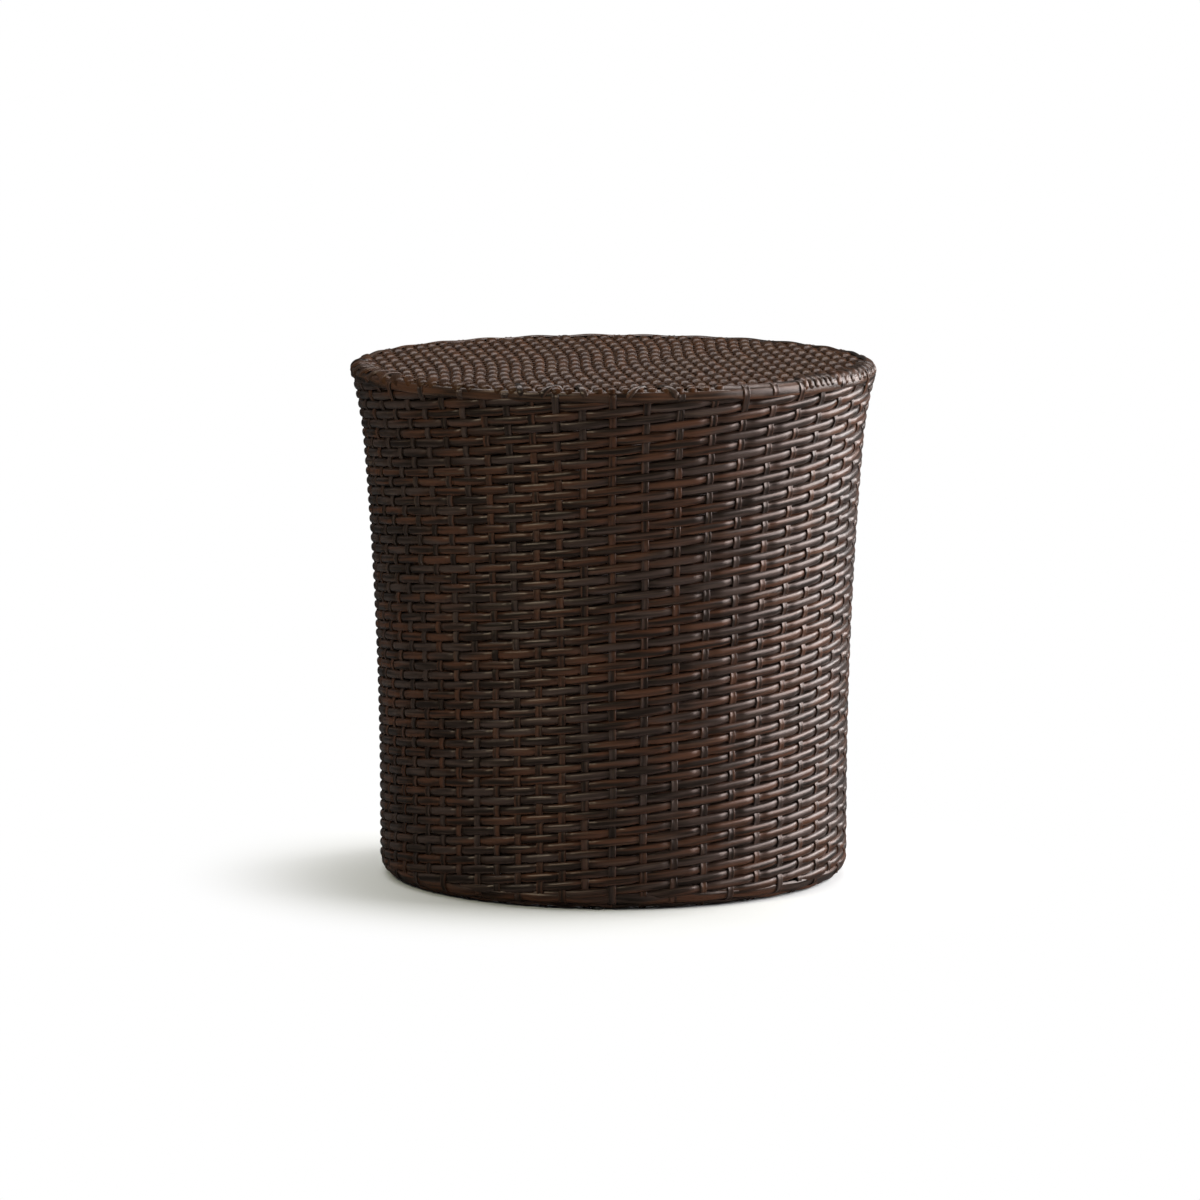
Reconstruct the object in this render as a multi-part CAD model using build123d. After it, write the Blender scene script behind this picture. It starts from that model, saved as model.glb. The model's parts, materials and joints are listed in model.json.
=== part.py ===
from build123d import *
import os
from math import asin, atan2, ceil, cos, degrees, floor, hypot, radians, sin

# A round, flared drum side table: a welded tube frame closed by a woven side and a woven top.
# Millimetres. The origin is on the floor under the middle of the table, +Z up, and the front is -Y.

# Overall sizes
top_diameter = 465.0
base_diameter = 416.0
height = 458.0

# Shape of the woven side, from the floor up
tuck_ease = 8.0
tuck_turn = 60.0
straight_length = 42.0
bow_radius = 4000.0
flare_height = 64.0

# Strands
weaver_thickness = 2.2
row_pitch = 8.55
row_relief = 1.1
row_crest_width = 4.4
stake_thickness = 1.6
stake_width = 6.5
top_weaver_pitch = 10.4
top_crest_width = 4.6
top_stake_pitch = 16.0
top_turn = 4.0
strand_gap = 0.15
lower_wrap_turn = 140.0
# Stakes in each quarter, anticlockwise from the front upright
stakes_per_quarter = (12, 14, 14, 16)

# Welded frame
tube_diameter = 10.0
tube_wall = 1.0
bar_diameter = 8.0
bar_wall = 1.0
bar_drop = 0.3
hoop_diameter = 6.0
hoop_height = 230.0
weld_gap = 0.1
seam_gap = 0.2
front_upright_angle = -94.0
crossbar_angle = -49.0
seam_angle = -72.0

# Foot glides
glide_diameter = 11.0
glide_height = 5.0
glide_stand_off = 1.0
stem_diameter = 4.0
stem_reach = 2.5
stem_gap = 0.1

tube_radius = tube_diameter / 2
bar_radius = bar_diameter / 2
hoop_radius = hoop_diameter / 2
upright_count = len(stakes_per_quarter)
quarter = 360.0 / upright_count

# Depth below the woven surface of the stakes' outer and inner faces, and of the frame tubes' centre lines
stake_outer_depth = weaver_thickness + strand_gap
stake_inner_depth = stake_outer_depth + stake_thickness
frame_depth = stake_inner_depth + strand_gap + tube_radius


def polar(centre, radius, angle):
    """The point at a radius and an angle in degrees from a centre, in the (r, z) half plane."""
    return centre[0] + radius * cos(radians(angle)), centre[1] + radius * sin(radians(angle))


# Top and bottom rings in the (r, z) half plane
wall_radius = base_diameter / 2
tuck_radius = frame_depth + tuck_ease
top_ring = (top_diameter / 2 - frame_depth, height - frame_depth)
tuck_centre = (
    wall_radius - tuck_radius,
    glide_stand_off + frame_depth + tuck_ease * sin(radians(tuck_turn)),
)
low_ring = polar(tuck_centre, tuck_ease, -tuck_turn)

# The side rises straight, bows out on a long arc, and flares on a short one that runs into the rim
bow_start = tuck_centre[1] + straight_length
bow_end = top_ring[1] - flare_height
bow_centre = (wall_radius + bow_radius, bow_start)
bow_lean = degrees(asin((bow_end - bow_start) / bow_radius))
flare_start = polar(bow_centre, bow_radius, 180 - bow_lean)
lean_normal = (cos(radians(bow_lean)), -sin(radians(bow_lean)))
to_flare = (flare_start[0] - top_ring[0], flare_start[1] - top_ring[1])
to_flare_normal = to_flare[0] * lean_normal[0] + to_flare[1] * lean_normal[1]
flare_radius = (hypot(*to_flare) ** 2 - frame_depth**2) / (2 * (frame_depth - to_flare_normal))
flare_centre = (
    flare_start[0] + flare_radius * lean_normal[0],
    flare_start[1] + flare_radius * lean_normal[1],
)
rim_start = degrees(
    atan2(
        (flare_centre[1] - top_ring[1]) / (flare_radius + frame_depth),
        (flare_centre[0] - top_ring[0]) / (flare_radius + frame_depth),
    )
)
crown = 90.0
lower_wrap_end = -tuck_turn - lower_wrap_turn


def arc_edge(centre, radius, start, end):
    """An arc in the XZ plane, about a centre given as (r, z), between two angles in degrees."""
    angles = (start, (start + end) / 2, end)
    points = [polar(centre, radius, angle) for angle in angles]
    return ThreePointArc(*[(r, 0, z) for r, z in points])


def line_edge(start, end):
    """A straight edge in the XZ plane between two (r, z) points."""
    return Line((start[0], 0, start[1]), (end[0], 0, end[1]))


def low_wrap_edges(depth):
    """The curve round the bottom ring, from its inner side to the tuck, at a depth below the surface."""
    return [arc_edge(low_ring, frame_depth - depth, lower_wrap_end, -tuck_turn)]


def side_edges(depth):
    """The curve up the side, from the tuck to the rim, at a depth below the surface."""
    wall_foot = (wall_radius - depth, tuck_centre[1])
    wall_head = (wall_radius - depth, bow_start)
    return [
        arc_edge(tuck_centre, tuck_radius - depth, -tuck_turn, 0),
        line_edge(wall_foot, wall_head),
        arc_edge(bow_centre, bow_radius + depth, 180, 180 - bow_lean),
        arc_edge(flare_centre, flare_radius + depth, 180 - bow_lean, 180 + rim_start),
    ]


def rim_edges(depth):
    """The curve round the top ring, from the flare to its crown, at a depth below the surface."""
    return [arc_edge(top_ring, frame_depth - depth, rim_start, crown)]


def face_between(outer, inner):
    """The face between two runs of edges that start and end beside each other."""
    head = Line(outer[-1] @ 1, inner[-1] @ 1)
    foot = Line(outer[0] @ 0, inner[0] @ 0)
    return make_face(outer + inner + [head, foot])


def layer_face(curves, outer_depth, inner_depth):
    """The section of a layer that follows some of the curves between two depths."""
    outer = [edge for curve in curves for edge in curve(outer_depth)]
    inner = [edge for curve in curves for edge in curve(inner_depth)]
    return face_between(outer, inner)


def skin(curves):
    """A woven skin one weaver thick, all round the table, along some of the curves."""
    return revolve(layer_face(curves, 0, weaver_thickness), Axis.Z)


def point_below(curve, way, depth):
    """The point at a distance along a curve in the XZ plane, and at a depth below it."""
    place = curve.position_at(way, PositionMode.LENGTH)
    along = curve.tangent_at(way, PositionMode.LENGTH)
    return place.X - depth * along.Z, 0, place.Z + depth * along.X


def row_edges():
    """The face of the side weave: a flat-topped ridge for each row of weavers, and a valley between rows."""
    surface = Wire(side_edges(0))
    count = round(surface.length / row_pitch)
    step = surface.length / count
    points = [point_below(surface, 0, row_relief)]
    for row in range(count):
        middle = (row + 0.5) * step
        points.append(point_below(surface, middle - row_crest_width / 2, 0))
        points.append(point_below(surface, middle + row_crest_width / 2, 0))
        points.append(point_below(surface, (row + 1) * step, row_relief))
    return [Line(*ends) for ends in zip(points, points[1:])]


def stepped_edges(edges):
    """Straight edges about one row long that follow some long arcs."""
    curve = Wire(edges)
    count = round(curve.length / row_pitch)
    points = [curve @ (index / count) for index in range(count + 1)]
    return [Line(*ends) for ends in zip(points, points[1:])]


def make_side_weave():
    """The woven side, from the tuck to the rim, with a ridge all round for each row of weavers."""
    tuck, wall, bow, flare = side_edges(weaver_thickness)
    back = [tuck, wall] + stepped_edges([bow, flare])
    return revolve(face_between(row_edges(), back), Axis.Z)


def ring_solid(centre, radius):
    """A full round ring about the table's axis, with its section centred at (r, z)."""
    return Pos(0, 0, centre[1]) * Torus(centre[0], radius)


def turned(shape, angle):
    """A shape turned about the table's axis by an angle in degrees."""
    return Rot(0, 0, angle) * shape


def upright_angle(index):
    """The direction of an upright, in degrees from +X."""
    return front_upright_angle + index * quarter


def stake_angles():
    """The directions of the side stakes, spread evenly in each quarter between the uprights."""
    angles = []
    for index, count in enumerate(stakes_per_quarter):
        for place in range(count):
            angles.append(upright_angle(index) + (place + 0.5) * quarter / count)
    return angles


def make_side_stakes():
    """The upright strips of the side, from inside the bottom ring to the crown of the top ring."""
    curves = (low_wrap_edges, side_edges, rim_edges)
    section = layer_face(curves, stake_outer_depth, stake_inner_depth)
    stake = extrude(section, amount=stake_width / 2, both=True)
    return [turned(stake, angle) for angle in stake_angles()]


def make_top_stakes():
    """The strips that run side to side under the top weave, cut off above the top ring."""
    reach = top_ring[0] - strand_gap
    middle = height - (stake_outer_depth + stake_inner_depth) / 2
    disc = Cylinder(reach, stake_thickness)
    half_count = floor((reach - stake_width) / top_stake_pitch - 0.5) + 1
    strips = []
    for index in range(-half_count, half_count):
        across = Pos(0, (index + 0.5) * top_stake_pitch, 0)
        strip = across * Box(2 * reach, stake_width, stake_thickness)
        strips.append(turned(Pos(0, 0, middle) * (strip & disc), top_turn))
    return strips


def top_weave_face():
    """The section of the top weave: a flat-topped ridge for each weaver, on a flat back."""
    half_count = ceil(top_ring[0] / top_weaver_pitch)
    edge = (half_count + 0.5) * top_weaver_pitch
    back = height - weaver_thickness
    valley = height - row_relief
    points = [(edge, back), (-edge, back)]
    for index in range(-half_count, half_count + 1):
        middle = index * top_weaver_pitch
        points.append((middle - top_weaver_pitch / 2, valley))
        points.append((middle - top_crest_width / 2, height))
        points.append((middle + top_crest_width / 2, height))
    points.append((edge, valley))
    return make_face(Polyline(*[(x, 0, z) for x, z in points], close=True))


def make_top_weave():
    """The woven top, inside the crown of the rim, with a ridge from front to back for each weaver."""
    reach = top_ring[0] - strand_gap
    disc = Pos(0, 0, height - weaver_thickness / 2) * Cylinder(reach, weaver_thickness)
    return turned(extrude(top_weave_face(), amount=reach, both=True) & disc, top_turn)


def stem_hole(index):
    """The hole under one upright that a glide's stem goes through, up to the bottom ring's bore."""
    tall = low_ring[1]
    hole = Pos(low_ring[0], 0, tall / 2) * Cylinder(stem_diameter / 2 + stem_gap, tall)
    return turned(hole, upright_angle(index))


def make_bottom_wrap():
    """The strand wrap round the bottom ring, with a hole for each glide's stem."""
    wrap = skin((low_wrap_edges,))
    for index in range(upright_count):
        wrap = wrap - stem_hole(index)
    return wrap


def rolled_ring(centre):
    """A ring of tube rolled about the table's axis, with its ends butted at the seam."""
    section = Circle(tube_radius) - Circle(tube_radius - tube_wall)
    section = Plane.XZ * Pos(centre[0], centre[1], 0) * section
    ring = revolve(section, Axis.Z, 360 - degrees(seam_gap / centre[0]))
    return turned(ring, seam_angle)


def make_bottom_ring():
    """The ring at the foot, drilled for the glides' stems."""
    ring = rolled_ring(low_ring)
    for index in range(upright_count):
        ring = ring - stem_hole(index)
    return ring


def upright_path():
    """The centre line of an upright, from the bottom ring up along the side to the top ring."""
    knee = (wall_radius - frame_depth, bow_start)
    inset = knee[0] - low_ring[0]
    rise = knee[1] - low_ring[1]
    lean_radius = (inset**2 + rise**2) / (2 * inset)
    lean_centre = (knee[0] - lean_radius, knee[1])
    lean = degrees(asin(rise / lean_radius))
    return Wire(
        [
            arc_edge(lean_centre, lean_radius, -lean, 0),
            arc_edge(bow_centre, bow_radius + frame_depth, 180, 180 - bow_lean),
            arc_edge(flare_centre, flare_radius + frame_depth, 180 - bow_lean, 180 + rim_start),
        ]
    )


def make_upright(index):
    """A bent tube between the two rings, its ends shaped to sit on them."""
    path = upright_path()
    section = Plane(path @ 0, z_dir=path % 0) * (Circle(tube_radius) - Circle(tube_radius - tube_wall))
    tube = sweep(section, path=path)
    tube = tube - ring_solid(top_ring, tube_radius + weld_gap)
    tube = tube - ring_solid(low_ring, tube_radius + weld_gap)
    return turned(tube, upright_angle(index))


def make_waist_hoop():
    """A hoop of round rod against the inner sides of the uprights."""
    lean = degrees(asin((hoop_height - bow_start) / bow_radius))
    depth = frame_depth + tube_radius + weld_gap + hoop_radius
    return ring_solid(polar(bow_centre, bow_radius + depth, 180 - lean), hoop_radius)


def bar_height():
    """The height of the crossbars' centre lines, just below level with the top of the top ring."""
    return top_ring[1] + tube_radius - bar_drop - bar_radius


def bar_tube(start, end):
    """A straight crossbar tube along X between two places."""
    length = end - start
    along = Pos((start + end) / 2, 0, bar_height()) * Rot(0, 90, 0)
    return along * (Cylinder(bar_radius, length) - Cylinder(bar_radius - bar_wall, length))


def make_long_crossbar():
    """The crossbar from side to side of the top ring."""
    bar = bar_tube(-top_ring[0], top_ring[0]) - ring_solid(top_ring, tube_radius + weld_gap)
    return turned(bar, crossbar_angle)


def make_half_crossbar(side):
    """A crossbar from the long one to the top ring, on one side or the other."""
    bar = bar_tube(0, top_ring[0]) - ring_solid(top_ring, tube_radius + weld_gap)
    seat = Rot(90, 0, 0) * Cylinder(bar_radius + weld_gap, top_ring[0])
    bar = bar - Pos(0, 0, bar_height()) * seat
    return turned(bar, crossbar_angle + side * 90)


def make_glide(index):
    """A moulded foot under one upright, hollowed to fit the wrap, with a stem into the bottom ring."""
    foot = Pos(low_ring[0], 0, glide_height / 2) * Cylinder(glide_diameter / 2, glide_height)
    foot = foot - ring_solid(low_ring, frame_depth + strand_gap)
    stem_top = low_ring[1] - tube_radius + tube_wall + stem_reach
    stem = Pos(low_ring[0], 0, stem_top / 2) * Cylinder(stem_diameter / 2, stem_top)
    return turned(foot + stem, upright_angle(index))


def build_nodes():
    """Every piece of the table by name, each one a solid or a list of like solids."""
    nodes = {
        "top_ring": rolled_ring(top_ring),
        "bottom_ring": make_bottom_ring(),
        "waist_hoop": make_waist_hoop(),
        "crossbar_long": make_long_crossbar(),
        "crossbar_half_left": make_half_crossbar(-1),
        "crossbar_half_right": make_half_crossbar(1),
        "side_stakes": make_side_stakes(),
        "side_weave": make_side_weave(),
        "top_stakes": make_top_stakes(),
        "top_weave": make_top_weave(),
        "top_rim_wrap": skin((rim_edges,)),
        "bottom_rim_wrap": make_bottom_wrap(),
    }
    for index, name in enumerate(("front", "right", "back", "left")):
        nodes[f"upright_{name}"] = make_upright(index)
        nodes[f"foot_glide_{name}"] = make_glide(index)
    return nodes


def solids_of(piece):
    """The solids of a piece or of a list of pieces."""
    pieces = piece if isinstance(piece, list) else [piece]
    return [solid for each in pieces for solid in each.solids()]


os.makedirs("parts", exist_ok=True)
for node, piece in build_nodes().items():
    solids = solids_of(piece)
    shape = solids[0] if len(solids) == 1 else Compound(children=solids)
    shape.label = node
    export_step(shape, f"parts/{node}.step")
    print(f"{node}: {len(solids)} solids, {sum(solid.volume for solid in solids):.0f} mm3")
print(f"flare radius {flare_radius:.1f} mm, rim start {rim_start:.1f} degrees")
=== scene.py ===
"""Dress the woven drum side table: strands, frame finish, foot glides, floor, light and camera."""

from __future__ import annotations

import json
import logging
import math
from dataclasses import dataclass, field
from enum import Enum, IntEnum

import bmesh
import bpy
import numpy as np
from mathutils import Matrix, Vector


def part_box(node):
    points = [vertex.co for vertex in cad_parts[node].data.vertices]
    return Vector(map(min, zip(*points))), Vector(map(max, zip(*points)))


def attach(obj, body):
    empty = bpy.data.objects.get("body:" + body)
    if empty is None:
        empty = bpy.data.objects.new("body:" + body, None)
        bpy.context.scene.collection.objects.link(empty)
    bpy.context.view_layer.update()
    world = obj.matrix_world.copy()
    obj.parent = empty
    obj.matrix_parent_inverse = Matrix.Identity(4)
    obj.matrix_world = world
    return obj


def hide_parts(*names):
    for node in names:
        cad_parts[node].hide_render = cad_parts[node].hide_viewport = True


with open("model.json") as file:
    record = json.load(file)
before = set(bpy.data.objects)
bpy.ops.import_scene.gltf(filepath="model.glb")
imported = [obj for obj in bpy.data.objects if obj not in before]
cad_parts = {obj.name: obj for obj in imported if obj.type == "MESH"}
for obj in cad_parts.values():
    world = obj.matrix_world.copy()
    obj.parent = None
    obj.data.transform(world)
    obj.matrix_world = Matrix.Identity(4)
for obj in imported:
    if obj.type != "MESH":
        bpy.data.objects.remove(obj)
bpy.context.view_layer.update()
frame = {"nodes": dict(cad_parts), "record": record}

STRAND_UV = "Strand"
BAKE_UV = "OFBake"
BAKE_MARGIN = 0.06
WELD = 1e-6
REEL = 7.3
SEED = 20
WHITE = (1.0, 1.0, 1.0, 1.0)
BLACK = (0.0, 0.0, 0.0, 1.0)

Array = np.ndarray
Rng = np.random.Generator
Pair = tuple[float, float]
Triple = tuple[float, float, float]
Colour = tuple[float, float, float, float]
Node = bpy.types.Node
Socket = bpy.types.NodeSocket
Material = bpy.types.Material
Mesh = bpy.types.Mesh

log = logging.getLogger("drum_table")


class Bulge(Enum):
    """Which way a round stretch of the outline bends, seen from outside the drum."""

    OUT = 1
    IN = -1


class Stretch(IntEnum):
    """The round stretches of the outline that bands lie on, by their place in it."""

    LOW_WRAP = 0
    TUCK = 1
    RIM = 5


@dataclass(frozen=True)
class Straight:
    """A straight stretch of the outline, between two (r, z) points."""

    start: Pair
    end: Pair

    @property
    def length(self) -> float:
        """The length of the stretch."""
        return math.dist(self.start, self.end)

    def at(self, way: Array) -> tuple[Array, Array]:
        """Find points on the stretch.

        Args:
            way: Distances from the start of the stretch.

        Returns:
            The (r, z) points, and the outward normals there.
        """
        start, end = np.array(self.start), np.array(self.end)
        along = (end - start) / self.length
        normal = np.array((along[1], -along[0]))
        return start + way[:, None] * along, np.tile(normal, (len(way), 1))


@dataclass(frozen=True)
class Round:
    """A round stretch of the outline about an (r, z) centre, between two angles in degrees."""

    centre: Pair
    radius: float
    start: float
    end: float
    bulge: Bulge

    @property
    def length(self) -> float:
        """The length of the stretch."""
        return self.radius * math.radians(abs(self.end - self.start))

    def at(self, way: Array) -> tuple[Array, Array]:
        """Find points on the stretch.

        Args:
            way: Distances from the start of the stretch.

        Returns:
            The (r, z) points, and the outward normals there.
        """
        turn = math.copysign(1 / self.radius, self.end - self.start)
        angle = math.radians(self.start) + way * turn
        spoke = np.column_stack((np.cos(angle), np.sin(angle)))
        return np.array(self.centre) + self.radius * spoke, self.bulge.value * spoke


def ring_of(node: str) -> Pair:
    """Read the centre line of a round ring from its packed box.

    Args:
        node: The name of the ring's node.

    Returns:
        The (r, z) point of the centre line.
    """
    low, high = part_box(node)
    tube = (high.z - low.z) / 2
    return high.x - tube, (high.z + low.z) / 2


def polar(centre: Pair, radius: float, angle: float) -> Pair:
    """Find a point in the (r, z) half plane.

    Args:
        centre: The (r, z) point that the angle is about.
        radius: The distance from the centre.
        angle: The angle in degrees from outwards, upwards.

    Returns:
        The (r, z) point.
    """
    turn = math.radians(angle)
    return centre[0] + radius * math.cos(turn), centre[1] + radius * math.sin(turn)


@dataclass
class Drum:
    """The outer surface of the woven drum, as one outline turned about the table's axis.

    A place on it is an angle about the axis, a distance along the outline, and a depth below the
    surface. The outline runs from inside the bottom ring, under it, up the side, over the rim and
    in across the top.
    """

    wall_radius: float = 0.208
    tuck_ease: float = 0.008
    tuck_turn: float = 60.0
    low_wrap_turn: float = 140.0
    straight_length: float = 0.042
    bow_radius: float = 4.0
    flare_height: float = 0.064

    def __post_init__(self) -> None:
        """Work out the stretches of the outline from the two packed rings and the sizes above."""
        top_ring, low_ring = ring_of("top_ring"), ring_of("bottom_ring")
        self.ring_radius, ring_z = top_ring
        self.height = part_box("top_weave")[1].z
        self.rim_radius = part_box("top_rim_wrap")[1].x - self.ring_radius
        tuck_radius = self.rim_radius + self.tuck_ease
        tuck_centre = polar(low_ring, -self.tuck_ease, -self.tuck_turn)
        wall_foot = (self.wall_radius, tuck_centre[1])
        wall_head = (self.wall_radius, tuck_centre[1] + self.straight_length)
        bow_centre = (self.wall_radius + self.bow_radius, wall_head[1])
        bow_rise = ring_z - self.flare_height - wall_head[1]
        lean = math.degrees(math.asin(bow_rise / self.bow_radius))
        flare_start = polar(bow_centre, self.bow_radius, 180 - lean)
        reach = Vector(flare_start) - Vector(top_ring)
        normal = Vector(polar((0, 0), 1, -lean))
        gap = self.rim_radius - reach.dot(normal)
        flare_radius = (reach.length_squared - self.rim_radius**2) / (2 * gap)
        flare_centre = Vector(flare_start) + flare_radius * normal
        out = flare_centre - Vector(top_ring)
        rim_start = math.degrees(math.atan2(out.y, out.x))
        low_start = -self.tuck_turn - self.low_wrap_turn
        self.stretches = (
            Round(low_ring, self.rim_radius, low_start, -self.tuck_turn, Bulge.OUT),
            Round(tuck_centre, tuck_radius, -self.tuck_turn, 0, Bulge.OUT),
            Straight(wall_foot, wall_head),
            Round(bow_centre, self.bow_radius, 180, 180 - lean, Bulge.IN),
            Round(tuple(flare_centre), flare_radius, 180 - lean, 180 + rim_start, Bulge.IN),
            Round(top_ring, self.rim_radius, rim_start, 90, Bulge.OUT),
            Straight((self.ring_radius, self.height), (0.0, self.height)),
        )
        self.ends = np.cumsum([stretch.length for stretch in self.stretches])
        self.starts = np.concatenate(((0.0,), self.ends[:-1]))
        self.crown = self.ends[Stretch.RIM]

    def way_at(self, stretch: Stretch, angle: float) -> float:
        """Find how far along the outline an angle in degrees on a round stretch is."""
        arc = self.stretches[stretch]
        return self.starts[stretch] + arc.radius * math.radians(angle - arc.start)

    def outline(self, way: Array) -> tuple[Array, Array]:
        """Find points on the outline.

        Args:
            way: Distances along the outline.

        Returns:
            The (r, z) points, and the outward normals there.
        """
        points, normals = np.zeros((len(way), 2)), np.zeros((len(way), 2))
        which = np.clip(np.searchsorted(self.ends, way), 0, len(self.stretches) - 1)
        for index, stretch in enumerate(self.stretches):
            here = which == index
            points[here], normals[here] = stretch.at(way[here] - self.starts[index])
        return points, normals

    def place(self, angle: Array, way: Array, depth: Array) -> tuple[Array, Array]:
        """Find points below the surface.

        Args:
            angle: Angles about the axis, in radians from +X.
            way: Distances along the outline.
            depth: Depths below the surface.

        Returns:
            The points, and the surface's outward normals there.
        """
        points, normals = self.outline(way)
        points = points - depth[:, None] * normals
        turn = np.column_stack((np.cos(angle), np.sin(angle)))
        place = np.column_stack((points[:, :1] * turn, points[:, 1]))
        normal = np.column_stack((normals[:, :1] * turn, normals[:, 1]))
        return place, normal


@dataclass(frozen=True)
class StakePlan:
    """Where the side stakes stand: evenly in each quarter, anticlockwise from the front upright."""

    per_quarter: tuple[int, ...] = (12, 14, 14, 16)
    front_angle: float = -94.0

    @property
    def count(self) -> int:
        """The number of side stakes."""
        return sum(self.per_quarter)

    def knots(self) -> tuple[Array, Array]:
        """Pair up angles and crossing numbers at the ends of the quarters.

        Returns:
            The angles from the front upright in turns, and the crossing numbers there.
        """
        turns = np.arange(len(self.per_quarter) + 1) / len(self.per_quarter)
        crossings = np.concatenate(((0,), np.cumsum(self.per_quarter))) - 0.5
        return turns, crossings

    def angle(self, crossing: Array) -> Array:
        """Find the angle of a crossing, a whole number at each stake.

        Args:
            crossing: Crossing numbers, which may pass several times round the drum.

        Returns:
            The angles in radians from +X.
        """
        turns, crossings = self.knots()
        laps = np.floor((crossing + 0.5) / self.count)
        turn = laps + np.interp(crossing - laps * self.count, crossings, turns)
        return math.radians(self.front_angle) + turn * math.tau


@dataclass(frozen=True)
class Crimp:
    """How far weavers and stakes bend in and out where they cross.

    Attributes:
        middle: The mean depth of the weavers and the stakes.
        weaver: How far a weaver bends each way from there.
        stake: How far a stake bends each way from there.
        grip: How sharply a weaver bends.
        lead: How much longer a weaver lies outside than inside.
        hidden: The depth of an end that is tucked in.
    """

    middle: float = 0.0023
    weaver: float = 0.0010
    stake: float = 0.0011
    grip: float = 3.5
    lead: float = 0.55
    hidden: float = 0.0036

    def weaver_depth(self, phase: Array) -> Array:
        """Find the depth of a weaver.

        Args:
            phase: Crossing numbers along it, even where it lies over a stake and odd where under.

        Returns:
            The depths of its centre line.
        """
        wave = np.tanh(self.grip * (np.cos(math.pi * phase) + self.lead))
        high = math.tanh(self.grip * (1 + self.lead))
        low = math.tanh(self.grip * (self.lead - 1))
        return self.middle + self.weaver * (high + low - 2 * wave) / (high - low)


def smooth_step(value: Array, start: float | Array, end: float | Array) -> Array:
    """Ease from 0 to 1.

    Args:
        value: Where to read the step.
        start: The value where it leaves 0.
        end: The value where it reaches 1.

    Returns:
        The eased values.
    """
    part = np.clip((value - start) / (end - start), 0, 1)
    return part * part * (3 - 2 * part)


def eased(value: Array, knots: Array, levels: Array) -> Array:
    """Pass smoothly through levels, level at each knot.

    Args:
        value: Where to read the curve.
        knots: Rising places of the knots.
        levels: The level at each knot.

    Returns:
        The levels at those places.
    """
    index = np.clip(np.searchsorted(knots, value) - 1, 0, len(knots) - 2)
    step = smooth_step(value, knots[index], knots[index + 1])
    return levels[index] + (levels[index + 1] - levels[index]) * step


@dataclass(frozen=True)
class BareRim:
    """The stretch of the rim where its upper band shows, free of the ends of the top's strands.

    Attributes:
        start: The angle where it starts, in degrees from +X.
        end: The angle where it ends.
        ease: How far either side of those angles it fades.
    """

    start: float = -66.0
    end: float = 168.0
    ease: float = 3.0

    def share(self, angle: Array) -> Array:
        """Tell how bare the rim is.

        Args:
            angle: Angles about the axis, in radians from +X.

        Returns:
            0 where the rim is covered, and 1 where it is bare.
        """
        half = (self.end - self.start) / 2
        turn = (np.degrees(angle) - self.start - half + 180) % 360 - 180
        return smooth_step(np.abs(turn), half + self.ease, half - self.ease)


@dataclass(frozen=True)
class Drift:
    """How a hand-laid strand strays: waves of one size, each with its own length."""

    size: float
    waves: tuple[float, ...]

    def along(self, rng: Rng, way: Array) -> Array:
        """Find the drift at distances along a strand.

        Args:
            rng: The source of the waves' phases.
            way: The distances.

        Returns:
            The drift at each.
        """
        phases = rng.uniform(0, math.tau, len(self.waves))
        pairs = zip(self.waves, phases)
        return self.size * sum(np.sin(math.tau * way / wave + phase) for wave, phase in pairs)


@dataclass(frozen=True)
class HalfRound:
    """The section of a weaver: a round face on a thin skirt that spreads behind it."""

    width: float = 0.0073
    thickness: float = 0.0030
    lip: float = 0.0010
    drop: float = 0.0012
    back: float = 0.0003
    dome: float = 0.70
    face_points: int = 9

    def points(self) -> Array:
        """List the section's points as (across, out), anticlockwise from the middle of its back."""
        half, low = self.width / 2, -self.thickness / 2
        swing = np.linspace(0, math.pi, self.face_points)
        rise = low + self.back + (self.thickness - self.back) * np.sin(swing).clip(0) ** self.dome
        face = np.column_stack((half * np.cos(swing), rise))
        edge, hem = half + self.lip, low - self.drop
        side = np.array(((edge, hem), (edge, hem + self.back)))
        return np.vstack(((0, low), side, face, side[::-1] * (-1, 1)))


@dataclass(frozen=True)
class RidgedStrip:
    """The section of a stake: a flat strip with a ridge along each edge of its face."""

    width: float = 0.0065
    thickness: float = 0.0014
    ridge: float = 0.0016
    shoulder: float = 0.8
    groove: float = 0.0005

    def points(self) -> Array:
        """List the section's points as (across, out), anticlockwise from the middle of its back."""
        half, front = self.width / 2, self.thickness / 2
        side = np.array(
            (
                (half - self.groove, -front),
                (half, 0),
                (half - self.ridge / 4, front * self.shoulder),
                (half - self.ridge / 2, front),
                (half - self.ridge, front - self.groove / 2),
            )
        )
        return np.vstack(((0, -front), side, (0, front - self.groove), side[::-1] * (-1, 1)))


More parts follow.
